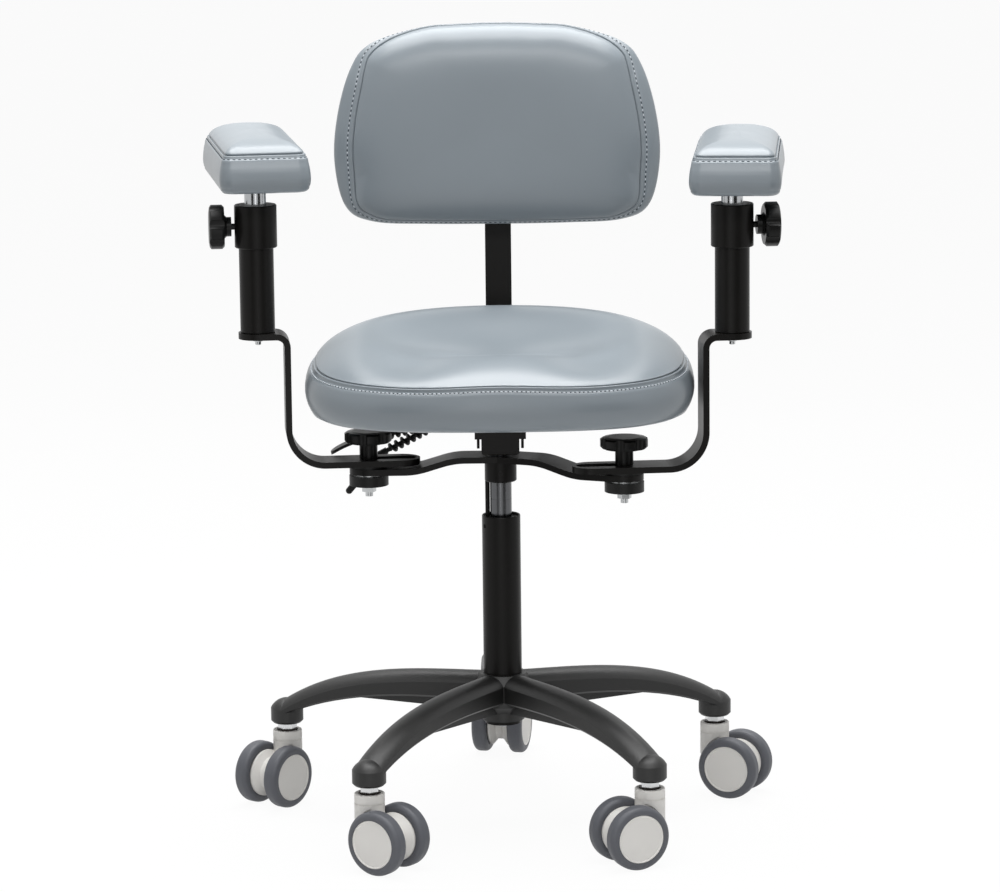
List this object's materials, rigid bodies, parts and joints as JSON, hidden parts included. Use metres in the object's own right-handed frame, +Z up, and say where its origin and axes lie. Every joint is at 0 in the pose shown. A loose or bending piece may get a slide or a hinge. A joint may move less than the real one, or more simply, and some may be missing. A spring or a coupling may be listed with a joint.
{
  "type": "microscope chair",
  "caption": "Swivel chair for microscope work with a star base on casters, gas lift, contoured seat, hinged backrest and armrests that swing, slide and rise.",
  "frame": {"origin": "on the floor under the column's axis", "axes": "+Z up, the sitter faces -Y, +X to the sitter's left"},
  "size_m": [0.7642, 0.691, 1.0219],
  "materials": {
    "black_paint": "satin powder coat",
    "steel": "ground and polished",
    "black_plastic": "fine grain",
    "grey_vinyl": "smooth upholstery vinyl",
    "plywood": "bare",
    "grey_plastic": "moulded",
    "tyre": "soft tread"
  },
  "bodies": {
    "base": {"star_base": "black_paint", "caster_stems": "steel", "stand_tube": "black_paint"},
    "column": {"piston_rod": "steel", "thrust_bearing": "steel", "guide_bush": "black_plastic", "column_clip": "steel"},
    "seat": {"gas_cylinder": "steel", "arm_carrier": "black_paint", "guide_rod": "black_paint", "tilt_housing": "black_paint", "seat_board": "plywood", "seat_cushion": "grey_vinyl", "frame_screws": "black_paint", "pivot_bolts": "steel", "pivot_discs": "black_plastic", "friction_washers": "black_plastic"},
    "lift_lever": {"lift_lever": "black_plastic", "lift_lever_spring": "black_plastic"},
    "tilt_lever": {"tilt_lever": "black_plastic", "tilt_lever_spring": "black_plastic"},
    "back": {"back_bar": "black_paint", "back_pin": "steel"},
    "backrest": {"back_bracket": "black_paint", "backrest_board": "black_plastic", "backrest_cushion": "grey_vinyl"},
    "right_clamp": {"right_slot_bush": "black_plastic"},
    "right_arm": {"right_arm_bar": "black_paint", "right_post_tube": "black_paint", "right_post_screw": "steel"},
    "right_rod": {"right_post_rod": "steel"},
    "right_pad": {"right_pad_plate": "steel", "right_pad_cushion": "grey_vinyl"},
    "right_pivot_knob": {"right_pivot_knob": "black_plastic"},
    "right_post_knob": {"right_post_knob": "black_plastic"},
    "left_clamp": {"left_slot_bush": "black_plastic"},
    "left_arm": {"left_arm_bar": "black_paint", "left_post_tube": "black_paint", "left_post_screw": "steel"},
    "left_rod": {"left_post_rod": "steel"},
    "left_pad": {"left_pad_plate": "steel", "left_pad_cushion": "grey_vinyl"},
    "left_pivot_knob": {"left_pivot_knob": "black_plastic"},
    "left_post_knob": {"left_post_knob": "black_plastic"},
    "front_right_caster": {"front_right_caster_housing": "grey_plastic"},
    "front_right_wheels": {"front_right_caster_wheels": "grey_plastic", "front_right_caster_tyres": "tyre"},
    "front_left_caster": {"front_left_caster_housing": "grey_plastic"},
    "front_left_wheels": {"front_left_caster_wheels": "grey_plastic", "front_left_caster_tyres": "tyre"},
    "left_caster": {"left_caster_housing": "grey_plastic"},
    "left_wheels": {"left_caster_wheels": "grey_plastic", "left_caster_tyres": "tyre"},
    "rear_caster": {"rear_caster_housing": "grey_plastic"},
    "rear_wheels": {"rear_caster_wheels": "grey_plastic", "rear_caster_tyres": "tyre"},
    "right_caster": {"right_caster_housing": "grey_plastic"},
    "right_wheels": {"right_caster_wheels": "grey_plastic", "right_caster_tyres": "tyre"}
  },
  "joints": [
    {"name": "seat_turn", "type": "hinge", "parent": "base", "child": "column", "pos_m": [0, 0, 0], "axis": [0, 0, 1], "continuous": true},
    {"name": "seat_lift", "type": "slide", "parent": "column", "child": "seat", "axis": [0, 0, 1], "range_m": [-0.04, 0.1]},
    {"name": "lift_lever_pull", "type": "hinge", "parent": "seat", "child": "lift_lever", "pos_m": [-0.025, 0.05, 0.5263], "axis": [0, 1, 0], "range_deg": [0, 8], "stiffness_Nm_per_rad": 1.5, "springref_deg": -8.59},
    {"name": "tilt_lever_pull", "type": "hinge", "parent": "seat", "child": "tilt_lever", "pos_m": [-0.025, 0.085, 0.5263], "axis": [0, 1, 0], "range_deg": [0, 8], "stiffness_Nm_per_rad": 1.5, "springref_deg": -8.59},
    {"name": "back_tilt", "type": "hinge", "parent": "seat", "child": "back", "pos_m": [0, 0.134, 0.5183], "axis": [-1, 0, 0], "range_deg": [-5, 14]},
    {"name": "back_height", "type": "slide", "parent": "back", "child": "backrest", "axis": [0, 0.0698, 0.9976], "range_m": [-0.03, 0.05]},
    {"name": "right_arm_swing", "type": "hinge", "parent": "seat", "child": "right_clamp", "pos_m": [-0.171, 0, 0.4696], "axis": [0, 0, 1], "range_deg": [-5, 18]},
    {"name": "right_arm_slide", "type": "slide", "parent": "right_clamp", "child": "right_arm", "axis": [-0.9962, -0.0872, 0], "range_m": [0, 0.05]},
    {"name": "right_arm_height", "type": "slide", "parent": "right_arm", "child": "right_rod", "axis": [0, 0, 1], "range_m": [-0.015, 0.06]},
    {"name": "right_pad_turn", "type": "hinge", "parent": "right_rod", "child": "right_pad", "pos_m": [-0.31047, -0.0122, 0.835], "axis": [0, 0, 1], "range_deg": [-10, 20]},
    {"name": "right_pivot_knob_turn", "type": "hinge", "parent": "seat", "child": "right_pivot_knob", "pos_m": [-0.171, 0, 0.4896], "axis": [0, 0, 1], "range_deg": [0, 180]},
    {"name": "right_post_knob_turn", "type": "hinge", "parent": "right_arm", "child": "right_post_knob", "pos_m": [-0.35031, -0.01569, 0.7836], "axis": [-0.9962, -0.0872, 0], "range_deg": [0, 180]},
    {"name": "left_arm_swing", "type": "hinge", "parent": "seat", "child": "left_clamp", "pos_m": [0.15855, -0.06406, 0.4696], "axis": [0, 0, 1], "range_deg": [-38, 4]},
    {"name": "left_arm_slide", "type": "slide", "parent": "left_clamp", "child": "left_arm", "axis": [0.9957, 0.0924, 0], "range_m": [0, 0.05]},
    {"name": "left_arm_height", "type": "slide", "parent": "left_arm", "child": "left_rod", "axis": [0, 0, 1], "range_m": [-0.015, 0.06]},
    {"name": "left_pad_turn", "type": "hinge", "parent": "left_rod", "child": "left_pad", "pos_m": [0.29795, -0.05113, 0.83], "axis": [0, 0, 1], "range_deg": [-20, 10]},
    {"name": "left_pivot_knob_turn", "type": "hinge", "parent": "seat", "child": "left_pivot_knob", "pos_m": [0.15855, -0.06406, 0.4896], "axis": [0, 0, 1], "range_deg": [0, 180]},
    {"name": "left_post_knob_turn", "type": "hinge", "parent": "left_arm", "child": "left_post_knob", "pos_m": [0.33778, -0.04743, 0.7836], "axis": [0.9957, 0.0924, 0], "range_deg": [0, 180]},
    {"name": "front_right_caster_turn", "type": "hinge", "parent": "base", "child": "front_right_caster", "pos_m": [-0.16927, -0.24768, 0.0963], "axis": [0, 0, 1], "continuous": true},
    {"name": "front_right_wheel_roll", "type": "hinge", "parent": "front_right_caster", "child": "front_right_wheels", "pos_m": [-0.145, -0.26532, 0.041], "axis": [0.5878, 0.809, 0], "continuous": true},
    {"name": "front_left_caster_turn", "type": "hinge", "parent": "base", "child": "front_left_caster", "pos_m": [0.18325, -0.23753, 0.0963], "axis": [0, 0, 1], "continuous": true},
    {"name": "front_left_wheel_roll", "type": "hinge", "parent": "front_left_caster", "child": "front_left_wheels", "pos_m": [0.15606, -0.25021, 0.041], "axis": [0.4226, -0.9063, 0], "continuous": true},
    {"name": "left_caster_turn", "type": "hinge", "parent": "base", "child": "left_caster", "pos_m": [0.28253, 0.10088, 0.0963], "axis": [0, 0, 1], "continuous": true},
    {"name": "left_wheel_roll", "type": "hinge", "parent": "left_caster", "child": "left_wheels", "pos_m": [0.30972, 0.0882, 0.041], "axis": [0.4226, 0.9063, 0], "continuous": true},
    {"name": "rear_caster_turn", "type": "hinge", "parent": "base", "child": "rear_caster", "pos_m": [-0.00864, 0.29988, 0.0963], "axis": [0, 0, 1], "continuous": true},
    {"name": "rear_wheel_roll", "type": "hinge", "parent": "rear_caster", "child": "rear_wheels", "pos_m": [-0.00189, 0.32911, 0.041], "axis": [-0.9744, 0.225, 0], "continuous": true},
    {"name": "right_caster_turn", "type": "hinge", "parent": "base", "child": "right_caster", "pos_m": [-0.28787, 0.08445, 0.0963], "axis": [0, 0, 1], "continuous": true},
    {"name": "right_wheel_roll", "type": "hinge", "parent": "right_caster", "child": "right_wheels", "pos_m": [-0.30634, 0.06081, 0.041], "axis": [0.788, -0.6157, 0], "continuous": true}
  ]
}
